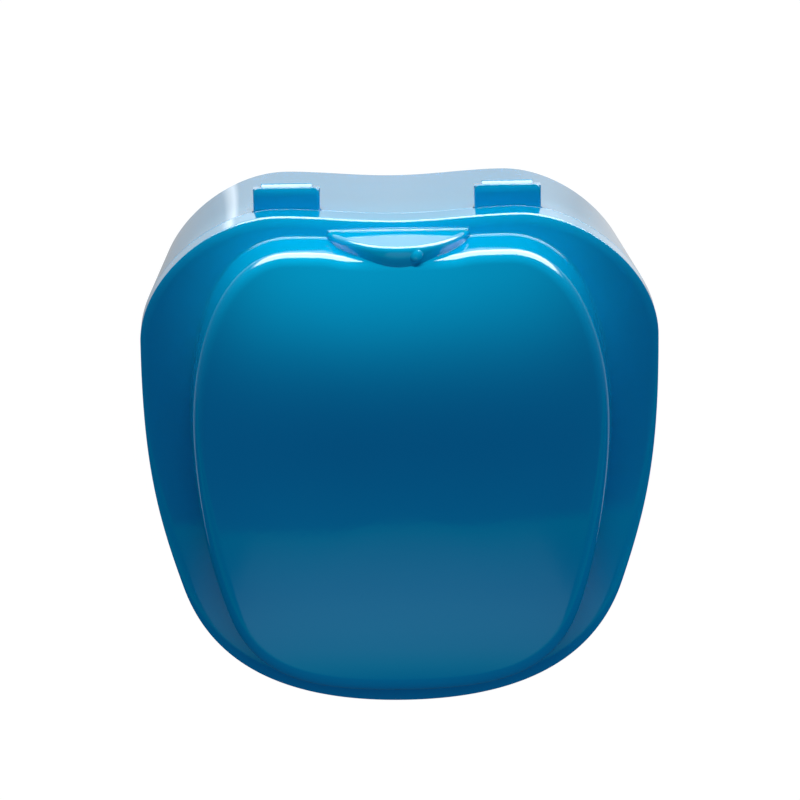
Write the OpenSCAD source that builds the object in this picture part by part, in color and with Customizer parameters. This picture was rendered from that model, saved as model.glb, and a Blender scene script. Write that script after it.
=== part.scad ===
// Denture case: a deep apple-shaped tub, a hinged lid with a raised dome,
// two hinge pins and a lift-out strainer basket.
// The case stands on its flat base, hinge end towards +Y, lid up.

/* [Case outline] */
// Width across the rim
case_w = 90; // [80:0.5:105]
// Length of the rim, from the narrow end to the humps at the hinge end
case_l = 86.5; // [80:0.5:100]
// Distance of the widest place from the narrow end
widest_y = 64.8; // [56:0.2:70]
// Distance of each hump from the centre line
hump_x = 20.8; // [17:0.2:25]
// Depth of the dip between the two humps
rim_dip = 1; // [0:0.1:2.5]

/* [Tub] */
// Height of the tub, from the base to the parting line
tub_h = 52; // [42:1:65]
// Thickness of the tub wall
tub_wall = 2.4; // [2.2:0.1:3]
// Thickness of the tub floor
tub_floor = 2.4; // [1.6:0.1:4]
// How far each side leans in from rim to base
side_taper = 1.95; // [0.5:0.05:3]
// How far the narrow end leans in from rim to base
nose_taper = 3.2; // [0.5:0.1:4]
// How far the hinge end leans in from rim to base
hinge_taper = 0.5; // [0.2:0.1:2]
// Radius of the edge round the base
base_r = 3.5; // [1.5:0.1:5]
// Height of the lip that the lid fits over
lip_h = 2.4; // [1.6:0.1:3]
// Number of ribs that carry the basket, in pairs, left and right
rib_pairs = 4; // [3:1:6]
// Width of a rib
rib_w = 2.4; // [1.6:0.1:4]
// How far a rib's top stands out from the wall
rib_out = 1.2; // [0.9:0.1:1.6]

/* [Lid] */
// Height of the lid's skirt, from the parting line to its flat margin
skirt_h = 8; // [6.5:0.1:12]
// Thickness of the skirt, the margin and the dome
lid_wall = 2; // [1.8:0.1:2.6]
// Radius of the edge between skirt and margin
rim_r = 1.5; // [0.5:0.1:1.8]
// Gap between lip and lid
lap_gap = 0.2; // [0.15:0.01:0.35]

/* [Dome] */
// Width of the dome at its shoulder
dome_w = 71.8; // [64:0.2:74]
// Length of the dome at its shoulder, to its own humps
dome_l = 77.4; // [70:0.1:78]
// Distance of the dome's narrow end from the rim's
dome_y = 4.1; // [3.8:0.1:6]
// Distance of the dome's widest place from its own narrow end
dome_widest_y = 47; // [42:0.1:52]
// Distance of each dome hump from the centre line
dome_hump_x = 18.6; // [15:0.1:22]
// Depth of the dome's dip
dome_dip = 1; // [0:0.1:2]
// Height of the dome above the margin, at its edge
dome_h = 9.5; // [8:0.1:12]
// How far the dome's foot stands out from its shoulder at the hinge end
dome_lean = 1.25; // [0.6:0.05:1.8]
// How far it stands out along the sides and at the narrow end
dome_draft = 0.2; // [0.1:0.05:0.6]
// Radius of the dome's shoulder
shoulder_r = 2.5; // [1:0.1:3]
// Rise of the dome's middle above its edge
dome_crown = 0.8; // [0.2:0.1:2]

/* [Thumb ledge] */
// Width of the half-moon ledge
ledge_w = 24.8; // [18:0.2:28]
// How far the ledge stands out from the margin
ledge_h = 12; // [11:0.1:14]
// Depth of the ledge's belly, towards the dome
ledge_d = 8; // [6:0.1:8.5]
// Distance of the ledge's flat face from the rim's humps
ledge_in = 2.7; // [2.4:0.1:3.2]
// Lean of the flat face, in degrees
ledge_lean = 6; // [2:0.5:8]
// How fine its two tips run out: 1 is an ellipse, more is more pointed
ledge_tip = 1.5; // [1:0.05:1.8]
// Diameter of the small moulding mark on the belly
gate_d = 2.6; // [1.4:0.1:3]
// Distance of that mark from the centre line
gate_x = 2.8; // [0:0.1:5]

/* [Hinge] */
// Distance of each hinge from the centre line
lug_x = 19.2; // [16:0.1:24]
// Width of a hinge plate
lug_w = 11.6; // [10:0.1:14]
// How far a hinge plate stands out from the wall
lug_out = 4.1; // [3.8:0.1:5]
// Thickness of a hinge plate
lug_t = 1.5; // [1.2:0.1:2]
// Thickness of an ear beside the knuckle
ear_t = 1.15; // [0.9:0.05:1.6]
// Radius of an ear's round end
ear_r = 1.3; // [1.2:0.05:1.6]
// Radius of a knuckle
knuckle_r = 1.9; // [1.6:0.05:2]
// Diameter of a hinge pin
pin_d = 1.3; // [1:0.05:1.6]
// Running gap round a pin in its knuckle
pin_gap = 0.06; // [0.03:0.01:0.1]
// Interference of a pin in an ear
pin_bite = 0.01; // [0.005:0.005:0.02]
// Gap between the moving and the fixed hinge parts
hinge_gap = 0.2; // [0.15:0.01:0.3]

/* [Basket] */
// Depth of the basket, from the top of its flange
basket_h = 38; // [28:1:40]
// Thickness of the basket's wall and floor
basket_wall = 1.3; // [1:0.1:2]
// Gap round the basket's flange and between its wall and the ribs
basket_gap = 0.35; // [0.3:0.05:0.8]
// Distance of the basket's flange below the parting line
basket_sink = 0.8; // [0.5:0.1:3]
// Lean of the basket's wall from top to bottom
basket_taper = 2.4; // [1.5:0.1:4]
// Diameter of a floor hole
hole_d = 4.2; // [3:0.1:5]
// Distance between floor holes
hole_pitch = 8; // [6.5:0.1:12]
// Width of a slot in the wall
slot_w = 3; // [2:0.1:4]
// Height of a slot in the wall
slot_h = 19; // [10:1:22]
// Number of slots round the wall
slot_count = 30; // [16:1:34]
// Width of a lift tab
tab_w = 18; // [14:0.5:22]
// Height of a lift tab above the flange
tab_h = 6.5; // [5:0.1:8]
// Thickness of a lift tab
tab_t = 1.7; // [1.4:0.1:2.2]
// Radius of a lift tab's top corners
tab_r = 3; // [2:0.1:4]

/* [Hidden] */
blue = [0.0, 0.53, 0.8];
white = [0.93, 0.95, 0.96];
steel = [0.75, 0.76, 0.78];
sides = [-1, 1];
round_fn = 48;
hole_fn = 24;
// Angle between the rings of an outer and of an inner rounded edge
outer_step = 22.5;
inner_step = 30;
// How far a cutting tool reaches past the face it cuts
past = 0.5;

// Curve shares of an outline: corner x of half width, corner y of length,
// corner direction in degrees, nose handle, corner's two handles, flank handle,
// shoulder's two handles, and the dip's two handles
rim_curve = [0.855, 0.243, 71.5, 0.577, 0.125, 0.165, 0.24, 0.51, 0.473, 0.327, 0.357];
dome_curve = [0.811, 0.145, 62.9, 0.431, 0.132, 0.083, 0.17, 0.467, 0.702, 0.653, 0.86];
// The dome's foot goes from the hinge end's lean to the sides' draft between these
// directions, in degrees from the hinge end
lean_near = 50;
lean_far = 100;
// Steps along the nose, flank, shoulder and dip curves
steps = [9, 9, 10, 6];

// Heights of the main planes
margin_z = tub_h + skirt_h;
dome_z = margin_z + dome_h;
flange_z = tub_h - basket_sink;
flange_low = flange_z - basket_wall;
basket_low = flange_z - basket_h;
// The lap: a leaf on the lid outside, the tub's lip inside
leaf_t = (tub_wall - lap_gap) / 2;
lip_in = leaf_t + lap_gap;
lap_h = lip_h + lap_gap;
// Rounding of the small edges, and how deep a rebate stays inside the lip
edge_r = 0.3;
edge_gap = 0.05;
// Shares at which the rings of the dome's crowned face lie
crown_shares = [0.3, 0.6, 0.85];
// The hinge: the plate's corners, its top, how far the knuckle shows past
// the plate, the knuckle's root and the axis
plate_r = 1;
plate_rise = 0.3;
plate_z = tub_h + plate_rise;
knuckle_show = 0.45;
root_in = tub_wall / 2;
hinge_y = case_l / 2 + lug_out - knuckle_r;
hinge_z = plate_z - lug_t - hinge_gap - knuckle_r;
knuckle_w = lug_w - 2 * ear_t - 2 * hinge_gap;
pin_r = pin_d / 2;
// The basket's flange and wall, measured in from the rim
flange_in = tub_wall + basket_gap;
wall_in = tub_wall + rib_out + basket_gap;
// The rounded corner inside the tub's floor: never sharper than least_r
least_r = 1.6;
fill_r = 1;
inner_r = max(base_r - tub_wall + fill_r, least_r);
// The basket's rounded bottom edge, the rim left round its floor holes, the
// reach of a slot's cutter and the gap between a lift tab and the dome
basket_r = 3;
hole_edge = 2.2;
slot_reach = 4 * basket_wall;
tab_gap = 1.6;
grip_w = tab_w / 2;
grip_h = 0.385 * tab_h;
// The ledge's flat face at the margin, the last ring of its belly in degrees,
// and the moulding mark on that belly
ledge_y = case_l / 2 - ledge_in;
belly_end = 87;
ledge_step = 6;
gate_sink = 0.6;
gate_turn = 24;
gate_side = acos(2 * gate_x / (ledge_w * cos(gate_turn)));
gate_up = ledge_h * cos(gate_turn) * pow(sin(gate_side), ledge_tip) - gate_sink / 2;
gate_back = ledge_d * sin(gate_turn) - gate_sink;

// A point and its direction on a cubic curve
function curve(a, b, c, d, t) =
    pow(1 - t, 3) * a + 3 * pow(1 - t, 2) * t * b + 3 * (1 - t) * t * t * c + pow(t, 3) * d;
function run(a, b, c, d, n) = [for (i = [0:n - 1]) curve(a, b, c, d, i / n)];

// The right half of an outline, from the narrow end's middle to the dip's
function half_outline(w, l, widest, hump, dip, s) =
    let (
        h = w / 2,
        corner = [s[0] * h, s[1] * l],
        dir = [cos(s[2]), sin(s[2])],
        side = [h, widest],
        top = [hump, l],
        last = [0, l - dip]
    )
    concat(
        run([0, 0], [s[3] * h, 0], corner - s[4] * l * dir, corner, steps[0]),
        run(corner, corner + s[5] * l * dir, side - [0, s[6] * l], side, steps[1]),
        run(side, side + [0, s[7] * (l - widest)], top + [s[8] * (h - hump), 0], top, steps[2]),
        run(top, top - [s[9] * hump, 0], last + [s[10] * hump, 0], last, steps[3]),
        [last]
    );

// The whole outline, counter-clockwise, with the rim's middle at y = 0
function outline(w, l, widest, hump, dip, s, y0) =
    let (half = half_outline(w, l, widest, hump, dip, s), n = len(half))
    [for (i = [0:2 * n - 3])
        let (p = i < n ? half[i] : half[2 * n - 2 - i])
        [i < n ? p.x : -p.x, p.y + y0 - case_l / 2]];

rim = outline(case_w, case_l, widest_y, hump_x, rim_dip, rim_curve, 0);
dome = outline(dome_w, dome_l, dome_widest_y, dome_hump_x, dome_dip, dome_curve, dome_y);
count = len(rim);

// The outward direction of a closed outline at point i
function outward(pts, i) =
    let (d = pts[(i + 1) % len(pts)] - pts[(i + len(pts) - 1) % len(pts)])
    [d.y, -d.x] / norm(d);
function inset(pts, d) = [for (i = [0:len(pts) - 1]) pts[i] - d * outward(pts, i)];
function at(pts, z) = [for (p = pts) [p.x, p.y, z]];

// The tub's outline at height z: the rim, drawn in towards the base
function tub_plan(z) =
    let (f = min(max((tub_h - z) / tub_h, 0), 1), half = case_l / 2)
    [for (p = rim) [
        p.x * (1 - f * side_taper / (case_w / 2)),
        p.y + f * (nose_taper * (half - p.y) - hinge_taper * (half + p.y)) / case_l
    ]];

// A ring of the tub, and rings round its base and inside its floor's edge
function tub_ring(d, z) = at(inset(tub_plan(z), d), z);
function base_ring(a) = tub_ring(base_r * (1 - cos(a)), base_r * (1 - sin(a)));
function floor_ring(a) =
    tub_ring(tub_wall + inner_r * (1 - cos(a)), tub_floor + inner_r * (1 - sin(a)));

// A ring of the lid's skirt, of its dome, of the dome's foot, of its rounded
// shoulder, d in from the outside, and of the dome's crowned face
function skirt_ring(d, z) = at(inset(rim, d), z);
function dome_ring(d, z) = at(inset(dome, d), z);
function foot_out(n) =
    let (t = min(max((lean_far - acos(n.y)) / (lean_far - lean_near), 0), 1))
    dome_draft + (dome_lean - dome_draft) * t * t * (3 - 2 * t);
function foot_ring(d, z) =
    at([for (i = [0:count - 1])
        let (n = outward(dome, i))
        dome[i] + (foot_out(n) - d) * n], z);
function dome_shoulder(d, a) =
    dome_ring(d + shoulder_r * (1 - cos(a)), dome_z - d - shoulder_r * (1 - sin(a)));
dome_mid = [0, dome_y + dome_l / 2 - case_l / 2];
function face_ring(d, s, z) =
    let (edge = inset(dome, d))
    [for (p = edge)
        let (q = dome_mid + s * (p - dome_mid))
        [q.x, q.y, z + dome_crown * (1 - s * s)]];

// A ring of the basket's wall, d in from its outside
function basket_lean(z) = basket_taper * (flange_z - z) / basket_h;
function basket_ring(d, z) = tub_ring(wall_in + basket_lean(z) + d, z);
function basket_edge(d, r, z, a) = basket_ring(d + r * (1 - cos(a)), z + r * (1 - sin(a)));

// A closed solid through rings of equal count, with a flat cap at each end
module loft(rings) {
    n = len(rings[0]);
    last = len(rings) - 1;
    polyhedron(
        points = [for (r = rings) each r],
        faces = concat(
            [[for (j = [0:n - 1]) j]],
            [for (i = [0:last - 1], j = [0:n - 1])
                let (k = (j + 1) % n)
                each [
                    [i * n + j, (i + 1) * n + j, (i + 1) * n + k],
                    [i * n + j, (i + 1) * n + k, i * n + k]
                ]],
            [[for (j = [n - 1:-1:0]) last * n + j]]
        )
    );
}

// A cylinder along X, centred at x
module x_rod(r, len, x) {
    translate([x, hinge_y, hinge_z])
        rotate([0, 90, 0])
            cylinder(r = r, h = len, center = true, $fn = round_fn);
}

// The tub's wall, floor and lip in one closed shell
module tub_shell() {
    loft([
        for (a = [90:-outer_step:0]) base_ring(a),
        tub_ring(0, tub_h - edge_r),
        tub_ring(edge_r, tub_h),
        tub_ring(lip_in, tub_h),
        skirt_ring(lip_in, tub_h + lip_h - edge_r),
        skirt_ring(lip_in + edge_r, tub_h + lip_h),
        skirt_ring(tub_wall - edge_r, tub_h + lip_h),
        skirt_ring(tub_wall, tub_h + lip_h - edge_r),
        for (a = [0:outer_step:90]) floor_ring(a)
    ]);
}

// Upright ribs inside the tub: the basket's flange rests on their tops
function rib_ring(i, z) =
    let (
        n = outward(rim, i),
        t = [-n.y, n.x] * rib_w / 2,
        a = tub_plan(z)[i] - n * tub_wall / 2,
        b = a - n * (tub_wall / 2 + rib_out)
    )
    at([a - t, a + t, b + t, b - t], z);
module ribs() {
    for (k = [0:rib_pairs - 1]) {
        i = round((k + 0.5) * count / 2 / rib_pairs);
        for (j = [i, count - i])
            loft([rib_ring(j, tub_floor / 2), rib_ring(j, flange_low)]);
    }
}

// A knuckle on the tub's wall, with a root that ties it in
module knuckle(x) {
    x_rod(knuckle_r, knuckle_w, x);
    translate([x - knuckle_w / 2, case_l / 2 - root_in, hinge_z - knuckle_r])
        cube([knuckle_w, hinge_y - case_l / 2 + root_in, 2 * knuckle_r]);
}

// The rebate in the tub's rim that a hinge plate's root lies in
module plate_rebate(x) {
    wide = lug_w + 2 * hinge_gap;
    deep = lip_in - edge_gap;
    low = plate_z - lug_t - hinge_gap;
    translate([x - wide / 2, case_l / 2 - deep, low])
        cube([wide, deep + lug_out, tub_h + edge_gap - low]);
}

module tub() {
    color(blue)
        difference() {
            union() {
                tub_shell();
                ribs();
                for (s = sides)
                    knuckle(s * lug_x);
            }
            for (s = sides) {
                x_rod(pin_r + pin_gap, knuckle_w + 2 * past, s * lug_x);
                plate_rebate(s * lug_x);
            }
        }
}

// The lid's skirt, margin and dome in one closed shell
module lid_shell() {
    in_z = margin_z - lid_wall;
    roof_z = dome_z - lid_wall;
    loft([
        for (s = crown_shares) face_ring(shoulder_r + lid_wall, s, roof_z),
        for (a = [90:-inner_step:0]) dome_shoulder(lid_wall, a),
        foot_ring(lid_wall, in_z),
        skirt_ring(lid_wall, in_z),
        skirt_ring(lid_wall, tub_h + lap_h),
        skirt_ring(leaf_t, tub_h + lap_h),
        skirt_ring(leaf_t, tub_h),
        skirt_ring(edge_r, tub_h),
        skirt_ring(0, tub_h + edge_r),
        for (a = [0:outer_step:90])
            skirt_ring(rim_r * (1 - cos(a)), margin_z - rim_r * (1 - sin(a))),
        foot_ring(0, margin_z),
        for (a = [0:outer_step:90]) dome_shoulder(0, a),
        for (i = [len(crown_shares) - 1:-1:0]) face_ring(shoulder_r, crown_shares[i], dome_z)
    ]);
}

// The middle of the dome's wall: what the ledge must not reach past
module dome_core() {
    half = lid_wall / 2;
    loft([
        foot_ring(half, margin_z - lid_wall),
        for (a = [0:inner_step:90]) dome_shoulder(half, a)
    ]);
}

// The ledge's upright outline at one depth: a half-moon with finer tips than an
// ellipse, mirrored below the margin
function ledge_ring(b) = [
    for (a = [ledge_step / 2:ledge_step:360])
        [
            ledge_w / 2 * cos(b) * cos(a),
            ledge_d * sin(b),
            ledge_h * cos(b) * sign(sin(a)) * pow(abs(sin(a)), ledge_tip)
        ]
];

// The half-moon ledge: a rounded belly, cut by a leaning flat face
module thumb_ledge() {
    half = lid_wall / 2;
    difference() {
        intersection() {
            union() {
                translate([0, ledge_y, margin_z])
                    loft([for (b = [belly_end / 3:-belly_end / 15:-belly_end]) ledge_ring(b)]);
                translate([gate_x, ledge_y - gate_back, margin_z + gate_up])
                    sphere(d = gate_d, $fn = hole_fn);
            }
            translate([0, ledge_y, margin_z])
                rotate([ledge_lean, 0, 0])
                    translate([-ledge_w, -2 * ledge_h, -ledge_h])
                        cube([2 * ledge_w, 2 * ledge_h, 3 * ledge_h]);
            translate([-ledge_w, 0, margin_z - half])
                cube([2 * ledge_w, case_l, 2 * ledge_h]);
        }
        dome_core();
    }
}

// A hinge plate, flat on the parting line, with its two outer corners rounded
module hinge_plate(x) {
    back = case_l / 2 - leaf_t;
    front = case_l / 2 + lug_out - knuckle_show;
    half = lug_w / 2;
    translate([x, 0, plate_z - lug_t])
        linear_extrude(lug_t) {
            translate([-half, back])
                square([lug_w, front - back - plate_r]);
            translate([plate_r - half, back])
                square([lug_w - 2 * plate_r, front - back]);
            for (s = sides)
                translate([s * (half - plate_r), front - plate_r])
                    circle(r = plate_r, $fn = round_fn);
        }
}

// An ear under the plate, whose inner face is at x and whose body runs to side s
module hinge_ear(x, s) {
    rise = plate_z - lug_t / 2 - hinge_z;
    translate([x + s * ear_t / 2, hinge_y, hinge_z])
        rotate([90, 0, 90])
            linear_extrude(ear_t, center = true) {
                circle(r = ear_r, $fn = round_fn);
                translate([-ear_r, 0])
                    square([2 * ear_r, rise]);
            }
}

module lid() {
    ear_x = lug_w / 2 - ear_t;
    color(blue)
        difference() {
            union() {
                lid_shell();
                thumb_ledge();
                for (s = sides) {
                    hinge_plate(s * lug_x);
                    for (e = sides)
                        hinge_ear(s * lug_x + e * ear_x, e);
                }
            }
            for (s = sides, e = sides)
                x_rod(pin_r - pin_bite, 2 * ear_t, s * lug_x + e * (ear_x + ear_t / 2));
        }
}

module hinge_pin(x) {
    color(steel)
        x_rod(pin_r, lug_w, x);
}

// The basket's wall, floor and flange in one closed shell
module basket_shell() {
    floor_r = basket_r - basket_wall / 2;
    loft([
        for (a = [90:-inner_step:0]) basket_edge(0, basket_r, basket_low, a),
        basket_ring(0, flange_low),
        tub_ring(flange_in, flange_low),
        tub_ring(flange_in, flange_z - edge_r),
        tub_ring(flange_in + edge_r, flange_z),
        basket_ring(basket_wall, flange_z),
        for (a = [0:inner_step:90])
            basket_edge(basket_wall, floor_r, basket_low + basket_wall, a)
    ]);
}

// A flat oblong with round ends, upright or lying, as wide as d
module oblong(d, len, upright) {
    long = upright ? [d, len - d] : [len - d, d];
    step = upright ? [0, (len - d) / 2] : [(len - d) / 2, 0];
    square(long, center = true);
    for (s = sides)
        translate(s * step)
            circle(d = d, $fn = hole_fn);
}

// The slots in the basket's wall, square to it and evenly spread along it
module wall_slots() {
    z = (basket_low + flange_low + basket_wall) / 2;
    wall = inset(tub_plan(z), wall_in + basket_lean(z) + basket_wall / 2);
    marks = walked(wall);
    for (k = [0:slot_count - 1]) {
        i = stop_at(marks, (k + 0.5) * marks[count] / slot_count);
        from = wall[i];
        step = wall[(i + 1) % count] - from;
        p = from + step * ((k + 0.5) * marks[count] / slot_count - marks[i]) / norm(step);
        translate([p.x, p.y, z])
            rotate([90, 0, atan2(step.y, step.x)])
                linear_extrude(slot_reach, center = true)
                    oblong(slot_w, slot_h, true);
    }
}

// The distance walked along a closed outline up to each point, and once round,
// and the last point before a given distance
function walked(pts) =
    let (n = len(pts))
    [for (i = 0, s = 0; i <= n; s = s + norm(pts[(i + 1) % n] - pts[i % n]), i = i + 1) s];
function stop_at(marks, s) = max([for (i = [0:len(marks) - 2]) if (marks[i] <= s) i]);

// True where a point is inside a closed outline
function crosses(p, a, b) =
    (a.y > p.y) != (b.y > p.y) && p.x < a.x + (b.x - a.x) * (p.y - a.y) / (b.y - a.y);
function inside(p, pts) =
    let (n = len(pts), hits = [for (i = [0:n - 1]) if (crosses(p, pts[i], pts[(i + 1) % n])) 1])
    len(hits) % 2 == 1;

// The holes in the basket's floor, in staggered rows
module floor_holes() {
    row = hole_pitch * sin(60);
    rows = ceil(case_l / row / 2);
    cols = ceil(case_w / hole_pitch / 2);
    edge = basket_ring(basket_r + hole_d / 2 + hole_edge, basket_low);
    for (j = [-rows:rows], i = [-cols:cols]) {
        p = [(i + (abs(j) % 2) / 2) * hole_pitch, j * row];
        if (inside(p, edge))
            translate([p.x, p.y, basket_low - past])
                cylinder(d = hole_d, h = basket_wall + 2 * past, $fn = hole_fn);
    }
}

// A lift tab: an upright plate on a foot that reaches from the wall at y0 to y1
module lift_tab(y0, y1, s) {
    half = tab_w / 2;
    top = flange_z + tab_h;
    hole_z = flange_z + tab_h / 2;
    translate([-half, min(y0, y1 + s * tab_t), flange_low])
        cube([tab_w, abs(y1 + s * tab_t - y0), basket_wall]);
    translate([0, y1 + s * tab_t / 2, 0])
        rotate([90, 0, 0])
            linear_extrude(tab_t, center = true)
                difference() {
                    union() {
                        translate([-half, flange_low])
                            square([tab_w, top - tab_r - flange_low]);
                        translate([tab_r - half, flange_low])
                            square([tab_w - 2 * tab_r, top - flange_low]);
                        for (e = sides)
                            translate([e * (half - tab_r), top - tab_r])
                                circle(r = tab_r, $fn = round_fn);
                    }
                    translate([0, hole_z])
                        oblong(grip_h, grip_w, false);
                }
}

module basket() {
    nose_y = dome_y + lid_wall + tab_gap - case_l / 2;
    hinge_end_y = dome_y + dome_l - dome_dip - lid_wall - tab_gap - case_l / 2;
    color(white)
        difference() {
            union() {
                basket_shell();
                lift_tab(wall_in + basket_wall / 2 - case_l / 2, nose_y, 1);
                lift_tab(case_l / 2 - rim_dip - wall_in - basket_wall / 2, hinge_end_y, -1);
            }
            wall_slots();
            floor_holes();
        }
}

tub();
lid();
hinge_pin(-lug_x);  // hinge_pin_left
hinge_pin(lug_x);  // hinge_pin_right
basket();
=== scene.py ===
import math

import bpy
import numpy as np
from mathutils import Matrix, Vector


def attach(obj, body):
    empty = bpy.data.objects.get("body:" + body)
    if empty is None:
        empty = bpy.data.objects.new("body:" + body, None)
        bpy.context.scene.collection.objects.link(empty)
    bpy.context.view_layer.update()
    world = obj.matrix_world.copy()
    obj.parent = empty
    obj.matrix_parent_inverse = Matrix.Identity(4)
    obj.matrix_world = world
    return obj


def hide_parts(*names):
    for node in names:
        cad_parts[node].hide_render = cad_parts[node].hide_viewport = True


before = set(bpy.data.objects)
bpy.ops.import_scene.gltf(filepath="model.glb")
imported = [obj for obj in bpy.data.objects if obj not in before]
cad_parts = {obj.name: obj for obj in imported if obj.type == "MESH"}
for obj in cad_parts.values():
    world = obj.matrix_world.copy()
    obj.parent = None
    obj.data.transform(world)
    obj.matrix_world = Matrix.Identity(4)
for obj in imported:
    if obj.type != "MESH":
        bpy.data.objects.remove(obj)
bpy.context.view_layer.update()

MM = 0.001

# Sizes in millimetres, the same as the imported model's
CASE_W, CASE_L, WIDEST, HUMP, DIP = 90.0, 86.5, 64.8, 20.8, 1.0
TUB_H, TUB_WALL, TUB_FLOOR = 52.0, 2.4, 2.4
SIDE_TAPER, NOSE_TAPER, HINGE_TAPER = 1.95, 3.2, 0.5
BASE_R, LIP_H, RIB_PAIRS, RIB_W, RIB_OUT = 3.5, 2.4, 4, 2.4, 1.2
SKIRT_H, LID_WALL, LAP_GAP = 8.0, 2.0, 0.2
SKIRT_DRAFT, RIM_R, ROLL_R, ROLL_FROM = 0.16, 0.8, 3.6, math.radians(62)
RIM_LEAST, RIM_NEAR, RIM_FAR = 0.25, 12.0, 32.0
DOME_W, DOME_L, DOME_Y, DOME_WIDEST, DOME_HUMP, DOME_DIP = 71.8, 77.4, 4.1, 47.0, 18.6, 1.0
DOME_H, DOME_LEAN, DOME_DRAFT, LEAN_NEAR, LEAN_FAR = 9.5, 1.25, 0.2, 50.0, 100.0
SHOULDER_R, CROWN = 2.5, 0.8
LEDGE_W, LEDGE_H, LEDGE_D, LEDGE_IN, LEDGE_LEAN, LEDGE_TIP = 24.8, 12.0, 8.0, 2.7, math.radians(6), 1.5
GATE_D, GATE_X, GATE_SINK, GATE_TURN = 2.6, 2.8, 0.6, math.radians(24)
LUG_X, LUG_W, LUG_OUT, LUG_T = 19.2, 11.6, 4.1, 1.5
LUG_SIDES = (-LUG_X, LUG_X)
EAR_T, EAR_R, KNUCKLE_R, PIN_D, PIN_GAP, PIN_BITE = 1.15, 1.3, 1.9, 1.3, 0.06, 0.01
HINGE_GAP, EDGE_R, EDGE_GAP, PLATE_R, PLATE_RISE, KNUCKLE_SHOW = 0.2, 0.3, 0.05, 1.0, 0.3, 0.45
BASKET_H, BASKET_WALL, BASKET_GAP, BASKET_SINK = 38.0, 1.3, 0.35, 0.8
BASKET_TAPER, BASKET_R, HOLE_D, HOLE_PITCH, HOLE_EDGE = 2.4, 3.0, 4.2, 8.0, 2.2
SLOT_W, SLOT_H, SLOTS = 3.0, 19.0, 30
TAB_W, TAB_H, TAB_T, TAB_R, TAB_GAP = 18.0, 6.5, 1.7, 3.0, 1.6

# How the two outlines bend: the lower corner's place and direction, then the lengths of the handles
RIM_CURVE = [0.855, 0.243, 71.5, 0.577, 0.125, 0.165, 0.24, 0.51, 0.473, 0.327, 0.357]
DOME_CURVE = [0.811, 0.145, 62.9, 0.431, 0.132, 0.083, 0.17, 0.467, 0.702, 0.653, 0.86]
STEPS, DENSE = (9, 9, 10, 6), 8

# Edges that turn by less than this shade smooth. CIRCLE is the handle of a quarter circle's curve.
SMOOTH_BELOW, CIRCLE = math.radians(35), 0.5523
# Small rounded edges and fillets, the grip's share of the tab, and how far joined solids overlap
KNUCKLE_EDGE, FLANGE_EDGE, BASKET_EDGE, TAB_EDGE = 0.12, 0.12, 0.3, 0.25
DOME_FILLET, FACE_HALF = 0.55, 35.0
LEDGE_EDGE, LEDGE_FILLET, LEDGE_FOOT_IN, LEDGE_FOOT_SINK, LEDGE_FOOT_SHORT = 0.95, 0.3, 0.4, 0.6, 0.3
PLATE_UNDER, PLATE_EDGE, PLATE_TIP, PLATE_FROM, PLATE_CORNER = 0.15, 0.35, 2.2, 48, 0.6
GRIP_SHARE = 0.385
OVERLAP, ROOT_IN, CUT_PAST = 0.01, 0.02, 0.5

MARGIN_Z = TUB_H + SKIRT_H
DOME_Z = MARGIN_Z + DOME_H
FLANGE_Z = TUB_H - BASKET_SINK
FLANGE_LOW = FLANGE_Z - BASKET_WALL
BASKET_LOW = FLANGE_Z - BASKET_H
LEAF_T = (TUB_WALL - LAP_GAP) / 2
LIP_IN = LEAF_T + LAP_GAP
LAP_H = LIP_H + LAP_GAP
PLATE_Z = TUB_H + PLATE_RISE
HINGE_Y = CASE_L / 2 + LUG_OUT - KNUCKLE_R
HINGE_Z = PLATE_Z - LUG_T - HINGE_GAP - KNUCKLE_R
KNUCKLE_W = LUG_W - 2 * EAR_T - 2 * HINGE_GAP
PIN_R = PIN_D / 2
WALL_IN = TUB_WALL + RIB_OUT + BASKET_GAP
FLANGE_IN = TUB_WALL + BASKET_GAP
INNER_R = max(BASE_R - TUB_WALL + 1.0, 1.6)
LEDGE_Y = CASE_L / 2 - LEDGE_IN
EAR_X = LUG_W / 2 - EAR_T / 2


# Outlines
def cubic(a, b, c, d, t):
    """The point at t on the curve from a to d, with handles b and c."""
    return (1 - t) ** 3 * a + 3 * (1 - t) ** 2 * t * b + 3 * (1 - t) * t * t * c + t ** 3 * d


def bez(a, b, c, d, n):
    """The curve's first n points of n + 1."""
    a, b, c, d = (np.array(p, float) for p in (a, b, c, d))
    return cubic(a, b, c, d, (np.arange(n) / n)[:, None])


def outline(w, l, widest, hump, dip, s, y0):
    """An apple's outline, seen from above: its narrow end at y0, two humps and a dip at the hinge end."""
    h = w / 2
    corner = np.array([s[0] * h, s[1] * l])
    way = np.array([math.cos(math.radians(s[2])), math.sin(math.radians(s[2]))])
    side, top, last = np.array([h, widest]), np.array([hump, l]), np.array([0, l - dip])
    n = [k * DENSE for k in STEPS]
    half = np.vstack([
        bez([0, 0], [s[3] * h, 0], corner - s[4] * l * way, corner, n[0]),
        bez(corner, corner + s[5] * l * way, side - [0, s[6] * l], side, n[1]),
        bez(side, side + [0, s[7] * (l - widest)], top + [s[8] * (h - hump), 0], top, n[2]),
        bez(top, top - [s[9] * hump, 0], last + [s[10] * hump, 0], last, n[3]),
        last[None],
    ])
    pts = np.vstack([half, half[-2:0:-1] * [-1, 1]])
    return pts + [0, y0 - CASE_L / 2]


def outward(pts):
    """The outline's normal at each point."""
    d = np.roll(pts, -1, 0) - np.roll(pts, 1, 0)
    n = np.stack([d[:, 1], -d[:, 0]], 1)
    return n / np.linalg.norm(n, axis=1, keepdims=True)


def inset(pts, d):
    return pts - np.reshape(d, (-1, 1)) * outward(pts)


def at(pts, z):
    return np.column_stack([pts, np.broadcast_to(z, len(pts))])


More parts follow.
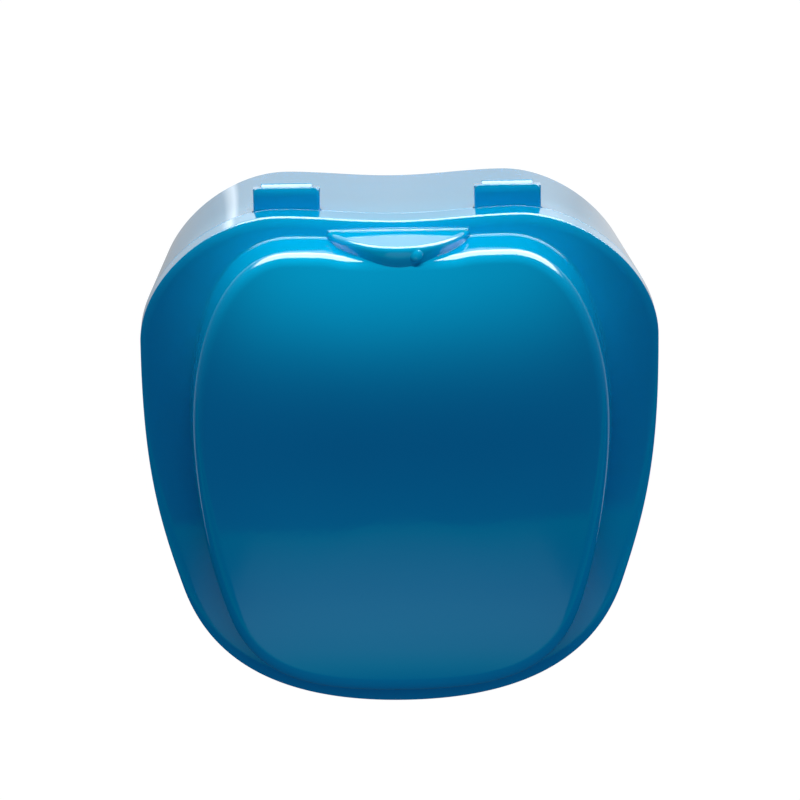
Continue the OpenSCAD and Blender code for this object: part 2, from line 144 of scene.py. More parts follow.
RIM = outline(CASE_W, CASE_L, WIDEST, HUMP, DIP, RIM_CURVE, 0)
DOME = outline(DOME_W, DOME_L, DOME_WIDEST, DOME_HUMP, DOME_DIP, DOME_CURVE, DOME_Y)
DOME_MID = np.array([0, DOME_Y + DOME_L / 2 - CASE_L / 2])


def tub_plan(z):
    """The tub's outline at height z: it draws in towards the base."""
    f = min(max((TUB_H - z) / TUB_H, 0), 1)
    x, y = RIM[:, 0], RIM[:, 1]
    half = CASE_L / 2
    return np.stack([
        x * (1 - f * SIDE_TAPER / (CASE_W / 2)),
        y + f * (NOSE_TAPER * (half - y) - HINGE_TAPER * (half + y)) / CASE_L,
    ], 1)


def tub_ring(d, z):
    return at(inset(tub_plan(z), d), z)


def skirt_ring(d, z):
    return at(inset(RIM, d), z)


def dome_ring(d, z):
    return at(inset(DOME, d), z)


def turn(a0, a1, n):
    """Angles in even steps from a0 to a1 degrees, in radians."""
    return [math.radians(a0 + (a1 - a0) * i / n) for i in range(n + 1)]


def rounded(ring, d, z, r, angles, inward=1, up=1):
    """Rings round an edge of radius r, from inset d at 0 degrees to height z at 90."""
    return [ring(d + inward * r * (1 - math.cos(a)), z + up * r * (1 - math.sin(a))) for a in angles]


def eased(lo, hi, pts, near, far):
    """Along an outline: hi where it faces the hinge end within near degrees, and lo beyond far."""
    way = np.degrees(np.arccos(np.clip(outward(pts)[:, 1], -1, 1)))
    t = np.clip((far - way) / (far - near), 0, 1)
    return lo + (hi - lo) * t * t * (3 - 2 * t)


def bend(a, b, c):
    """The sharpest turn, in degrees, of the profile at ring b."""
    p, q = b - a, c - b
    cos = (p * q).sum(1) / (np.linalg.norm(p, axis=1) * np.linalg.norm(q, axis=1) + 1e-12)
    return math.degrees(math.acos(np.clip(cos.min(), -1, 1)))


def supported(rings, near=0.1, corner=0.5):
    """Rings close beside each corner of the profile, which keep the shading between corners flat."""
    out = [rings[0]]
    for i in range(1, len(rings)):
        a, b = rings[i - 1], rings[i]
        gap = np.linalg.norm(b - a, axis=1, keepdims=True)
        if gap.min() > 4 * near:
            if i == 1 or bend(rings[i - 2], a, b) > corner:
                out.append(a + (b - a) * near / gap)
            if i == len(rings) - 1 or bend(a, b, rings[i + 1]) > corner:
                out.append(b - (b - a) * near / gap)
        out.append(b)
    return out


# Meshes
def new_object(name, verts, faces):
    mesh = bpy.data.meshes.new(name)
    mesh.from_pydata(verts, [], faces)
    mesh.update()
    obj = bpy.data.objects.new(name, mesh)
    bpy.context.scene.collection.objects.link(obj)
    return obj


def finish_mesh(obj):
    obj.data.shade_smooth()
    obj.data.set_sharp_from_angle(angle=SMOOTH_BELOW)
    obj.data.update()


def volume(verts, faces):
    """Six times the volume, below zero where the faces look inward."""
    v = np.asarray(verts)
    total = 0.0
    for f in faces:
        a = v[f[0]]
        for i in range(1, len(f) - 1):
            total += np.dot(a, np.cross(v[f[i]], v[f[i + 1]]))
    return total


def loft(name, rings, support=True, point_caps=(False, False)):
    """A closed solid through rings of equal count. A cap is one flat face, or a fan to a point."""
    if support:
        rings = supported([np.asarray(r, float) for r in rings])
    n, m = len(rings[0]), len(rings)
    verts = list(np.vstack(rings))
    faces = []
    for i in range(m - 1):
        for j in range(n):
            k = (j + 1) % n
            faces.append((i * n + j, i * n + k, (i + 1) * n + k, (i + 1) * n + j))
    for end, ring in ((0, 0), (1, m - 1)):
        idx = [ring * n + j for j in range(n)]
        if end == 0:
            idx.reverse()
        if point_caps[end]:
            c = len(verts)
            verts.append(np.mean(rings[ring], axis=0))
            faces += [(idx[j], idx[(j + 1) % n], c) for j in range(n)]
        else:
            faces.append(tuple(idx))
    if volume(verts, faces) < 0:
        faces = [tuple(reversed(f)) for f in faces]
    obj = new_object(name, (np.asarray(verts) * MM).tolist(), faces)
    finish_mesh(obj)
    return obj


def boolean(target, op, *tools, solver="MANIFOLD"):
    """Join or cut the target with each tool in turn. The tools are used up."""
    for tool in tools:
        mod = target.modifiers.new("cut", "BOOLEAN")
        mod.operation, mod.object, mod.solver = op, tool, solver
        graph = bpy.context.evaluated_depsgraph_get()
        mesh = bpy.data.meshes.new_from_object(target.evaluated_get(graph))
        target.modifiers.clear()
        old = target.data
        target.data = mesh
        bpy.data.meshes.remove(old)
        if not len(mesh.vertices):
            raise RuntimeError("boolean left nothing of " + target.name + " after " + tool.name)
        bpy.data.objects.remove(tool)
    return target


def block(name, lo, hi):
    (x0, y0, z0), (x1, y1, z1) = lo, hi
    ring = np.array([[x0, y0], [x1, y0], [x1, y1], [x0, y1]])
    return loft(name, [at(ring, z0), at(ring, z1)], support=False)


def rod(name, r, length, x, edge=0.0, n=64):
    """A rod along X at the hinge axis, with its ends' edges rounded."""
    rings = []
    profile = [(0.0, r)]
    if edge:
        profile = [(edge * (1 - math.cos(a)), r - edge * (1 - math.sin(a))) for a in turn(0, 90, 6)]
    for back, rr in profile:
        rings.append((-length / 2 + back, rr))
    for back, rr in reversed(profile):
        rings.append((length / 2 - back, rr))
    out = []
    for dx, rr in rings:
        a = np.arange(n) / n * 2 * math.pi
        out.append(np.column_stack([np.full(n, x + dx), HINGE_Y + rr * np.cos(a), HINGE_Z + rr * np.sin(a)]))
    return loft(name, out)


# The tub
def make_tub():
    top = TUB_H + LIP_H
    rings = rounded(tub_ring, 0, 0, BASE_R, turn(90, 0, 16))
    rings += rounded(tub_ring, 0, TUB_H, EDGE_R, turn(0, 90, 8), up=-1)
    rings.append(tub_ring(LIP_IN, TUB_H))
    rings += rounded(skirt_ring, LIP_IN, top, EDGE_R, turn(0, 90, 6), up=-1)
    rings += rounded(skirt_ring, TUB_WALL, top, EDGE_R, turn(90, 0, 6), inward=-1, up=-1)
    rings += rounded(tub_ring, TUB_WALL, TUB_FLOOR, INNER_R, turn(0, 90, 12))
    tub = loft("tub_moulding", rings)
    count = len(RIM)
    ribs = []
    for k in range(RIB_PAIRS):
        i = int(math.floor((k + 0.5) * (count / DENSE) / 2 / RIB_PAIRS + 0.5)) * DENSE
        ribs += [rib(i), rib(count - i)]
    knuckles = []
    root_half, root_y = KNUCKLE_W / 2 - ROOT_IN, CASE_L / 2 - TUB_WALL / 2
    for x in LUG_SIDES:
        knuckles.append(rod("knuckle", KNUCKLE_R, KNUCKLE_W, x, edge=KNUCKLE_EDGE))
        knuckles.append(block("root", (x - root_half, root_y, HINGE_Z - KNUCKLE_R + OVERLAP),
                              (x + root_half, HINGE_Y, HINGE_Z + KNUCKLE_R - OVERLAP)))
    boolean(tub, "UNION", merged("tub_parts", ribs), *knuckles, solver="EXACT")
    cuts = []
    half, back, low = LUG_W / 2 + HINGE_GAP, CASE_L / 2 - (LIP_IN - EDGE_GAP), PLATE_Z - LUG_T - HINGE_GAP
    for x in LUG_SIDES:
        cuts.append(rod("bore", PIN_R + PIN_GAP, KNUCKLE_W + 1, x, n=48))
        cuts.append(block("rebate", (x - half, back, low),
                          (x + half, CASE_L / 2 + LUG_OUT, TUB_H + EDGE_GAP)))
    boolean(tub, "DIFFERENCE", *cuts, solver="EXACT")
    finish_mesh(tub)
    return tub


def rib(i):
    """An upright rib inside the wall at the rim's point i. The basket's flange rests on it."""
    n = outward(RIM)[i]
    t = np.array([-n[1], n[0]]) * RIB_W / 2
    rings = []
    for z in (TUB_FLOOR / 2, FLANGE_LOW):
        a = tub_plan(z)[i] - n * TUB_WALL / 2
        b = a - n * (TUB_WALL / 2 + RIB_OUT)
        rings.append(at(np.array([a - t, a + t, b + t, b - t]), z))
    return loft("rib", rings, support=False)


# The lid
def face_ring(d, s, z):
    """The dome's outline shrunk to the share s, on its slightly crowned face."""
    q = DOME_MID + s * (inset(DOME, d) - DOME_MID)
    return at(q, z + CROWN * (1 - s * s))


def shoulder(d, r, a):
    """A ring on the dome's shoulder, d below its surface."""
    return dome_ring(d + r * (1 - np.cos(a)), DOME_Z - d - r * (1 - np.sin(a)))


def foot_out():
    """How far the dome's foot stands out from its shoulder at each point."""
    return eased(DOME_DRAFT, DOME_LEAN, DOME, LEAN_NEAR, LEAN_FAR)


def rim_rings():
    """The skirt's top edge: a small radius, finest round the sides, then a long roll to the flat margin."""
    r = eased(RIM_LEAST, RIM_R, RIM, RIM_NEAR, RIM_FAR)
    sin_from, cos_from, from_deg = math.sin(ROLL_FROM), math.cos(ROLL_FROM), math.degrees(ROLL_FROM)
    rings = []
    for a in turn(0, from_deg, 12):
        z = MARGIN_Z - ROLL_R * (1 - sin_from) - r * (sin_from - math.sin(a))
        rings.append(at(inset(RIM, SKIRT_DRAFT + r * (1 - math.cos(a))), z))
    turned = SKIRT_DRAFT + r * (1 - cos_from)
    for a in turn(from_deg, 90, 10)[1:]:
        d = turned + ROLL_R * (cos_from - math.cos(a))
        rings.append(skirt_ring(d, MARGIN_Z - ROLL_R * (1 - math.sin(a))))
    return rings


def dome_rings(out):
    """The dome's outside: a hollow fillet, a wall tangent to the shoulder, the shoulder and the face."""
    cx, cz = SHOULDER_R, DOME_Z - SHOULDER_R
    tilt = np.arctan2(MARGIN_Z - cz, -out - cx) - np.arccos(SHOULDER_R / np.hypot(out + cx, MARGIN_Z - cz))
    wx, wz = cx + SHOULDER_R * np.cos(tilt) + out, cz + SHOULDER_R * np.sin(tilt) - MARGIN_Z
    long = np.hypot(wx, wz)
    rings = []
    for t in np.linspace(0, 1, 9):
        near, far = (1 - t) ** 2 * DOME_FILLET, t * t * DOME_FILLET / long
        rings.append(dome_ring(far * wx - near - out, MARGIN_Z + far * wz))
    start = 180 - np.degrees(tilt % (2 * math.pi))
    end = 90 - math.degrees(math.atan(2 * CROWN / FACE_HALF))
    rings += [shoulder(0, SHOULDER_R, np.radians(start + (end - start) * t)) for t in np.linspace(0, 1, 23)]
    return rings + [face_ring(SHOULDER_R, s, DOME_Z) for s in np.linspace(0.97, 0.02, 34)]


def make_lid():
    out = foot_out()
    in_z, roof_z = MARGIN_Z - LID_WALL, DOME_Z - LID_WALL
    roof_shares = (0.02, 0.15, 0.3, 0.45, 0.6, 0.75, 0.88, 1.0)
    rings = [face_ring(SHOULDER_R + LID_WALL, s, roof_z) for s in roof_shares]
    rings += [shoulder(LID_WALL, SHOULDER_R, a) for a in turn(84, 0, 8)]
    rings.append(dome_ring(LID_WALL - out, in_z))
    lap = ((LID_WALL, in_z), (LID_WALL, TUB_H + LAP_H), (LEAF_T, TUB_H + LAP_H), (LEAF_T, TUB_H))
    rings += [skirt_ring(d, z) for d, z in lap]
    rings += rounded(skirt_ring, 0, TUB_H, EDGE_R, turn(90, 0, 8))
    rings += rim_rings()
    rings += dome_rings(out)
    lid = loft("lid_moulding", rings, point_caps=(True, True))
    parts, bores = [make_ledge()], []
    for x in LUG_SIDES:
        parts += [plate(x), ear(x - EAR_X), ear(x + EAR_X)]
        bores += [rod("bore", PIN_R - PIN_BITE, 2 * EAR_T, ear_x, n=48) for ear_x in (x - EAR_X, x + EAR_X)]
    boolean(lid, "UNION", *parts, solver="EXACT")
    boolean(lid, "DIFFERENCE", *bores, solver="EXACT")
    finish_mesh(lid)
    return lid


def dome_core():
    """A solid inside the dome, halfway through its wall, which keeps the ledge out of the lid's hollow."""
    half = LID_WALL / 2
    rings = [dome_ring(half - foot_out(), MARGIN_Z - LID_WALL)]
    rings += [shoulder(half, SHOULDER_R, a) for a in turn(0, 90, 10)]
    return loft("core", rings, support=False)


def make_ledge(n=180):
    """A rounded belly with fine tips, a leaning flat face and a rounded edge."""
    a = (np.arange(n) + 0.5) / n * 2 * math.pi
    rise = np.sign(np.sin(a)) * np.abs(np.sin(a)) ** LEDGE_TIP
    u = np.stack([LEDGE_W / 2 * np.cos(a), np.zeros(n), LEDGE_H * rise], 1)
    psi0 = np.arctan(math.tan(LEDGE_LEAN) * u[:, 2] / LEDGE_D)

    def belly(psi):
        c, s = np.cos(psi)[:, None], np.sin(psi)
        p = u * c
        p[:, 1] = -LEDGE_D * s
        return p

    def belly_way(psi):
        p = -u * np.sin(psi)[:, None]
        p[:, 1] = -LEDGE_D * np.cos(psi)
        return p / np.linalg.norm(p, axis=1, keepdims=True)

    rim = belly(psi0)
    size = np.linalg.norm(rim, axis=1, keepdims=True)
    p0 = rim * (1 - LEDGE_EDGE / size)
    psi1 = psi0 + LEDGE_EDGE / LEDGE_D
    p3 = belly(psi1)
    w0, w3 = rim / size, belly_way(psi1)
    k = CIRCLE * LEDGE_EDGE
    p1, p2 = p0 + w0 * k, p3 - w3 * k
    rings = [p0 * s for s in (0.02, 0.3, 0.6, 0.85)]
    rings.append(p0 - w0 * 0.1)
    rings += [cubic(p0, p1, p2, p3, t) for t in np.linspace(0, 1, 11)]
    almost_end = math.pi / 2 * 0.995
    rings += [belly(psi1 + (almost_end - psi1) * t) for t in np.linspace(0, 1, 40)[1:]]
    centre = np.array([0, LEDGE_Y, MARGIN_Z])
    ledge = loft("ledge", [r + centre for r in rings], support=False, point_caps=(True, True))
    side = math.acos(2 * GATE_X / (LEDGE_W * math.cos(GATE_TURN)))
    up = LEDGE_H * math.cos(GATE_TURN) * math.sin(side) ** LEDGE_TIP - GATE_SINK / 2
    back = LEDGE_D * math.sin(GATE_TURN) - GATE_SINK
    nub = ball("nub", (GATE_X, LEDGE_Y - back, MARGIN_Z + up), GATE_D / 2)
    boolean(ledge, "UNION", nub, ledge_foot())
    below = block("below", (-LEDGE_W, -CASE_L, 0), (LEDGE_W, CASE_L, MARGIN_Z - LID_WALL / 2))
    boolean(ledge, "DIFFERENCE", below, dome_core())
    return ledge


def ledge_foot():
    """The hollow fillet along the foot of the ledge's flat face."""
    r, back, low = LEDGE_FILLET, -LEDGE_FOOT_IN, -LEDGE_FOOT_SINK
    side = LEDGE_W / 2 - LEDGE_FOOT_SHORT
    hollow = [[r * (1 - math.cos(a)), r * (1 - math.sin(a))] for a in turn(0, 90, 10)]
    pts = np.array([[back, r]] + hollow + [[r, low], [back, low]])
    pts += [LEDGE_Y, MARGIN_Z]
    rings = [np.column_stack([np.full(len(pts), s * side), pts]) for s in (-1, 1)]
    return loft("ledge_foot", rings, support=False)


def ball(name, centre, r, n=40):
    rings = []
    for b in turn(-88, 88, n // 2):
        a = np.arange(n) / n * 2 * math.pi
        rings.append(np.column_stack([
            centre[0] + r * math.cos(b) * np.cos(a),
            centre[1] + r * math.cos(b) * np.sin(a),
            np.full(n, centre[2] + r * math.sin(b)),
        ]))
    return loft(name, rings, support=False, point_caps=(True, True))


def two_corners(half, low, high, r):
    """A flat outline, square at low, with corners of radius r at high."""
    pts = [[-half, low], [half, low]]
    pts += [[half - r + r * math.cos(a), high - r + r * math.sin(a)] for a in turn(0, 90, 12)]
    pts += [[-half + r + r * math.cos(a), high - r + r * math.sin(a)] for a in turn(90, 180, 12)]
    return np.array(pts)


def plate(x):
    """A hinge plate, with a small edge below and a long roll down to its front."""
    back, front = CASE_L / 2 - LEAF_T, CASE_L / 2 + LUG_OUT - KNUCKLE_SHOW

    def ring(d, f, z):
        return at(two_corners(LUG_W / 2 - d, back, front - f, PLATE_R - d * PLATE_CORNER) + [x, 0], z)

    rings = rounded(lambda d, z: ring(d, d, z), 0, PLATE_Z - LUG_T, PLATE_UNDER, turn(90, 0, 4))
    for a, b in zip(turn(0, 90, 16), turn(PLATE_FROM, 90, 16)):
        f = PLATE_TIP * (math.cos(math.radians(PLATE_FROM)) - math.cos(b))
        rings.append(ring(PLATE_EDGE * (1 - math.cos(a)), f, PLATE_Z - PLATE_TIP * (1 - math.sin(b))))
    return loft("plate", rings)


def ear(x):
    """A cheek under a hinge plate, which holds the pin's end."""
    rise = PLATE_Z - LUG_T / 2
    arc = [[HINGE_Y + EAR_R * math.cos(a), HINGE_Z + EAR_R * math.sin(a)] for a in turn(180, 360, 24)]
    ring = np.array([[HINGE_Y + EAR_R, rise], [HINGE_Y - EAR_R, rise]] + arc)
    rings = [np.column_stack([np.full(len(ring), x + s * EAR_T / 2), ring]) for s in (-1, 1)]
    return loft("ear", rings, support=False)


# The basket
def drawn_in(z):
    """How much further in the basket's wall stands at height z than at its flange."""
    return BASKET_TAPER * (FLANGE_Z - z) / BASKET_H


def basket_ring(d, z):
    return tub_ring(WALL_IN + drawn_in(z) + d, z)


def prism(name, pts, depth):
    """An outline in the X-Z plane, drawn out along Y to both sides."""
    rings = [np.column_stack([pts[:, 0], np.full(len(pts), s * depth / 2), pts[:, 1]]) for s in (-1, 1)]
    return loft(name, rings, support=False)


def oblong(d, length, upright):
    """A slot's outline, with round ends of diameter d."""
    r, h = d / 2, (length - d) / 2
    pts = [[r * math.cos(a), h + r * math.sin(a)] for a in turn(0, 180, 14)]
    pts += [[r * math.cos(a), -h + r * math.sin(a)] for a in turn(180, 360, 14)]
    pts = np.array(pts)
    return pts if upright else pts[:, ::-1] * [1, -1]


def merged(name, objs):
    """Separate solids as one object."""
    verts, faces, base = [], [], 0
    for o in objs:
        verts += [o.matrix_world @ v.co for v in o.data.vertices]
        faces += [tuple(base + i for i in p.vertices) for p in o.data.polygons]
        base = len(verts)
        bpy.data.objects.remove(o)
    return new_object(name, verts, faces)


def inside(p, pts):
    """Whether the point lies within the outline."""
    a, b = pts, np.roll(pts, -1, 0)
    up = (a[:, 1] > p[1]) != (b[:, 1] > p[1])
    with np.errstate(divide="ignore", invalid="ignore"):
        x = a[:, 0] + (b[:, 0] - a[:, 0]) * (p[1] - a[:, 1]) / (b[:, 1] - a[:, 1])
    return (up & (p[0] < x)).sum() % 2 == 1


def slot_cutters():
    """Upright slots at even steps round the basket's wall."""
    cutters = []
    z = (BASKET_LOW + FLANGE_LOW + BASKET_WALL) / 2
    wall = inset(tub_plan(z), WALL_IN + drawn_in(z) + BASKET_WALL / 2)
    seg = np.linalg.norm(np.roll(wall, -1, 0) - wall, axis=1)
    marks = np.concatenate([[0], np.cumsum(seg)])
    for k in range(SLOTS):
        s = (k + 0.5) * marks[-1] / SLOTS
        i = int(np.searchsorted(marks, s, "right") - 1)
        way = (wall[(i + 1) % len(wall)] - wall[i]) / seg[i]
        p = wall[i] + way * (s - marks[i])
        cut = prism("slot", oblong(SLOT_W, SLOT_H, True), 4 * BASKET_WALL)
        facing = Matrix.Rotation(math.atan2(way[1], way[0]), 4, "Z")
        cut.data.transform(Matrix.Translation(Vector((p[0], p[1], z)) * MM) @ facing)
        cutters.append(cut)
    return cutters


def hole_cutters():
    """Round holes in staggered rows, all over the basket's flat floor."""
    cutters = []
    edge = inset(tub_plan(BASKET_LOW), WALL_IN + drawn_in(BASKET_LOW) + BASKET_R + HOLE_D / 2 + HOLE_EDGE)
    row = HOLE_PITCH * math.sin(math.radians(60))
    rows, cols = math.ceil(CASE_L / row / 2), math.ceil(CASE_W / HOLE_PITCH / 2)
    ring = np.array([[math.cos(a), math.sin(a)] for a in turn(0, 360, 32)[:-1]]) * HOLE_D / 2
    for j in range(-rows, rows + 1):
        for i in range(-cols, cols + 1):
            p = np.array([(i + (abs(j) % 2) / 2) * HOLE_PITCH, j * row])
            if inside(p, edge):
                ends = (BASKET_LOW - CUT_PAST, BASKET_LOW + BASKET_WALL + CUT_PAST)
                cutters.append(loft("hole", [at(ring + p, z) for z in ends], support=False))
    return cutters


def make_basket():
    floor_r = BASKET_R - BASKET_WALL / 2
    rings = rounded(basket_ring, 0, BASKET_LOW, BASKET_R, turn(90, 0, 10))
    rings.append(basket_ring(0, FLANGE_LOW))
    rings += rounded(tub_ring, FLANGE_IN, FLANGE_LOW, FLANGE_EDGE, turn(90, 0, 4))
    rings += rounded(tub_ring, FLANGE_IN, FLANGE_Z, EDGE_R, turn(0, 90, 6), up=-1)
    rings += rounded(basket_ring, BASKET_WALL, FLANGE_Z, BASKET_EDGE, turn(90, 0, 6), inward=-1, up=-1)
    rings += rounded(basket_ring, BASKET_WALL, BASKET_LOW + BASKET_WALL, floor_r, turn(0, 90, 10))
    basket = loft("strainer_basket", rings)
    nose = DOME_Y + LID_WALL + TAB_GAP - CASE_L / 2
    hinge_end = DOME_Y + DOME_L - DOME_DIP - LID_WALL - TAB_GAP - CASE_L / 2
    boolean(basket, "UNION",
            *tab(WALL_IN + BASKET_WALL / 2 - CASE_L / 2, nose, 1),
            *tab(CASE_L / 2 - DIP - WALL_IN - BASKET_WALL / 2, hinge_end, -1))
    boolean(basket, "DIFFERENCE", merged("cutters", slot_cutters() + hole_cutters()))
    finish_mesh(basket)
    return basket


def tab(y0, y1, s):
    """A lift tab with a finger hole, and the foot that joins it to the basket's flange."""
    half, top = TAB_W / 2, FLANGE_Z + TAB_H
    lo, hi = min(y0, y1 + s * TAB_T), max(y0, y1 + s * TAB_T)
    foot = block("foot", (-half + OVERLAP, lo, FLANGE_LOW + OVERLAP),
                 (half - OVERLAP, hi, FLANGE_Z - OVERLAP))

    def ring(d, y):
        pts = two_corners(half - d, FLANGE_LOW, top - d, TAB_R - d)
        return np.column_stack([pts[:, 0], np.full(len(pts), y), pts[:, 1]])

    mid = y1 + s * TAB_T / 2
    rings = rounded(ring, 0, mid - TAB_T / 2, TAB_EDGE, turn(90, 0, 5))
    rings += rounded(ring, 0, mid + TAB_T / 2, TAB_EDGE, turn(0, 90, 5), up=-1)
    upright = loft("tab", rings)
    grip = prism("grip", oblong(GRIP_SHARE * TAB_H, TAB_W / 2, False), 4 * TAB_T)
    grip.data.transform(Matrix.Translation(Vector((0, mid, FLANGE_Z + TAB_H / 2)) * MM))
    boolean(upright, "DIFFERENCE", grip)
    return foot, upright


# Materials
def new_material(name):
    mat = bpy.data.materials.new(name)
    mat.use_nodes = True
    return mat, mat.node_tree


def math_node(nt, op, a, b=None):
    node = nt.nodes.new("ShaderNodeMath")
    node.operation = op
    for i, v in enumerate((a, b)):
        if isinstance(v, (int, float)):
            node.inputs[i].default_value = v
        elif v is not None:
            nt.links.new(v, node.inputs[i])
    return node.outputs["Value"]


def add(nt, a, b):
    return math_node(nt, "ADD", a, b)


def less(nt, a, b):
    return math_node(nt, "SUBTRACT", a, b)


def times(nt, a, b):
    return math_node(nt, "MULTIPLY", a, b)


def distance(nt, x, y):
    return math_node(nt, "SQRT", add(nt, times(nt, x, x), times(nt, y, y)))


def curve_node(nt, value, stops):
    """A value read off straight lines through (place, height) pairs."""
    lo, hi, top = stops[0][0], stops[-1][0], max(h for _, h in stops)
    ramp = nt.nodes.new("ShaderNodeValToRGB")
    nt.links.new(math_node(nt, "DIVIDE", less(nt, value, lo), hi - lo), ramp.inputs["Fac"])
    while len(ramp.color_ramp.elements) < len(stops):
        ramp.color_ramp.elements.new(0.5)
    for el, (place, h) in zip(ramp.color_ramp.elements, stops):
        el.position = (place - lo) / (hi - lo)
        el.color = (h / top, h / top, h / top, 1)
    return times(nt, ramp.outputs["Color"], top)


def place_nodes(nt, kind="Object"):
    """X, Y and Z of the point in metres, or of the direction."""
    coord = nt.nodes.new("ShaderNodeTexCoord")
    split = nt.nodes.new("ShaderNodeSeparateXYZ")
    nt.links.new(coord.outputs[kind], split.inputs["Vector"])
    return split.outputs


def emission(nt, colour=None):
    glow = nt.nodes.new("ShaderNodeEmission")
    if colour:
        glow.inputs["Color"].default_value = (*colour, 1)
    return glow


# How finely the wear, the clouding and the gloss vary, the cosines of an edge's turn where wear begins
# and is full, and how deep the surface's grain is in metres
WEAR_SCALE, CLOUD_SCALE, GLOSS_SCALE, WEAR_FROM, WEAR_FULL, GRAIN_DEPTH = 260, 24, 90, 0.99, 0.80, 0.0001


def material(name, rough, tints, bump, grain, wear, rounding=0.0, metallic=0.0, ior=1.5):
    """Moulded or drawn material: colour, gloss and surface vary by noise, and edges are a little worn."""
    mat, nt = new_material(name)
    bsdf = nt.nodes["Principled BSDF"]
    coord = nt.nodes.new("ShaderNodeTexCoord")

    def noise(scale, detail, roughness=0.5):
        n = nt.nodes.new("ShaderNodeTexNoise")
        n.inputs["Scale"].default_value = scale
        n.inputs["Detail"].default_value = detail
        n.inputs["Roughness"].default_value = roughness
        nt.links.new(coord.outputs["Object"], n.inputs["Vector"])
        return n.outputs["Fac"]

    def spread(source, lo, hi, to_lo, to_hi):
        n = nt.nodes.new("ShaderNodeMapRange")
        nt.links.new(source, n.inputs["Value"])
        n.inputs["From Min"].default_value, n.inputs["From Max"].default_value = lo, hi
        n.inputs["To Min"].default_value, n.inputs["To Max"].default_value = to_lo, to_hi
        return n.outputs["Result"]

    # Edges and seams read as slightly rounded, and their colour as slightly worn
    soft = nt.nodes.new("ShaderNodeBevel")
    soft.samples = 4
    soft.inputs["Radius"].default_value = rounding
    true = nt.nodes.new("ShaderNodeNewGeometry")
    turned = nt.nodes.new("ShaderNodeVectorMath")
    turned.operation = "DOT_PRODUCT"
    nt.links.new(soft.outputs["Normal"], turned.inputs[0])
    nt.links.new(true.outputs["Normal"], turned.inputs[1])
    edge = spread(turned.outputs["Value"], WEAR_FROM, WEAR_FULL, 0.0, 1.0)
    worn = times(nt, edge, spread(noise(WEAR_SCALE, 4, 0.6), 0.4, 0.7, 0.0, 0.6))

    cloud = nt.nodes.new("ShaderNodeMix")
    cloud.data_type = "RGBA"
    nt.links.new(spread(noise(CLOUD_SCALE, 3), 0.3, 0.7, 0.0, 1.0), cloud.inputs["Factor"])
    cloud.inputs["A"].default_value, cloud.inputs["B"].default_value = (*tints[0], 1), (*tints[1], 1)
    colour = nt.nodes.new("ShaderNodeMix")
    colour.data_type = "RGBA"
    nt.links.new(worn, colour.inputs["Factor"])
    nt.links.new(cloud.outputs["Result"], colour.inputs["A"])
    colour.inputs["B"].default_value = (*wear, 1)
    nt.links.new(colour.outputs["Result"], bsdf.inputs["Base Color"])
    nt.links.new(spread(noise(GLOSS_SCALE, 4, 0.6), 0.3, 0.7, *rough), bsdf.inputs["Roughness"])
    bmp = nt.nodes.new("ShaderNodeBump")
    bmp.inputs["Strength"].default_value = bump
    bmp.inputs["Distance"].default_value = GRAIN_DEPTH
    nt.links.new(noise(grain, 2), bmp.inputs["Height"])
    nt.links.new(soft.outputs["Normal"], bmp.inputs["Normal"])
    nt.links.new(bmp.outputs["Normal"], bsdf.inputs["Normal"])
    bsdf.inputs["Metallic"].default_value = metallic
    bsdf.inputs["IOR"].default_value = ior
    return mat


def put(obj, mat):
    obj.data.materials.clear()
    obj.data.materials.append(mat)


blue = material("blue_plastic", (0.045, 0.075), ((0.0, 0.34, 0.65), (0.0, 0.36, 0.68)), 0.03, 900,
                wear=(0.03, 0.45, 0.76), rounding=0.0002, ior=1.52)
white = material("white_plastic", (0.28, 0.38), ((0.76, 0.78, 0.79), (0.80, 0.82, 0.83)), 0.08, 1600,
                 wear=(0.84, 0.85, 0.86), rounding=0.0003)
steel = material("pin_steel", (0.22, 0.34), ((0.50, 0.51, 0.53), (0.62, 0.63, 0.65)), 0.1, 3000,
                 wear=(0.66, 0.67, 0.69), rounding=0.0001, metallic=1.0)

lid, tub, basket = make_lid(), make_tub(), make_basket()
for piece, node, body, mat, slot in (
    (lid, "lid", "case_lid", blue, "blue_plastic"),
    (tub, "tub", "case_tub", blue, "blue_plastic"),
    (basket, "basket", "strainer", white, "white_plastic"),
):
    put(piece, mat)
    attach(piece, body)
    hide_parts(node)
for name in ("hinge_pin_left", "hinge_pin_right"):
    put(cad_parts[name], steel)


# The studio
def plane(name, corners):
    obj = new_object(name, corners, [(0, 1, 2, 3)])
    return obj


def pick(nt, share, a, b):
    """Colour a where share is 0, and b where it is 1."""
    mix = nt.nodes.new("ShaderNodeMix")
    mix.data_type = "RGBA"
    nt.links.new(share, mix.inputs["Factor"])
    for socket, v in (("A", a), ("B", b)):
        if isinstance(v, tuple):
            mix.inputs[socket].default_value = (*v, 1)
        else:
            nt.links.new(v, mix.inputs[socket])
    return mix.outputs["Result"]


# Each list of pairs below holds places, and how strong the light is there. A place is in metres, a
# direction in radians, SOFTBOX goes from the softbox's middle at 0 to its edge at 1, and ROOM_MIRROR
# from straight down at -1 to straight up at 1.
# The softbox beyond the hinge end: its middle and half size round the compass and upward, how square it
# is, and the y and height of the point that sees it by way of the floor
SOFTBOX = [(0.0, 15.0), (0.92, 15.0), (1.0, 4.0), (1.08, 0.0), (2.0, 0.0)]
SOFTBOX_AROUND, SOFTBOX_UP, SOFTBOX_SQUARE = (0.14, 0.82), (-0.21, 0.49), 3.4
SOFTBOX_FROM = (0.0365, 0.0685)


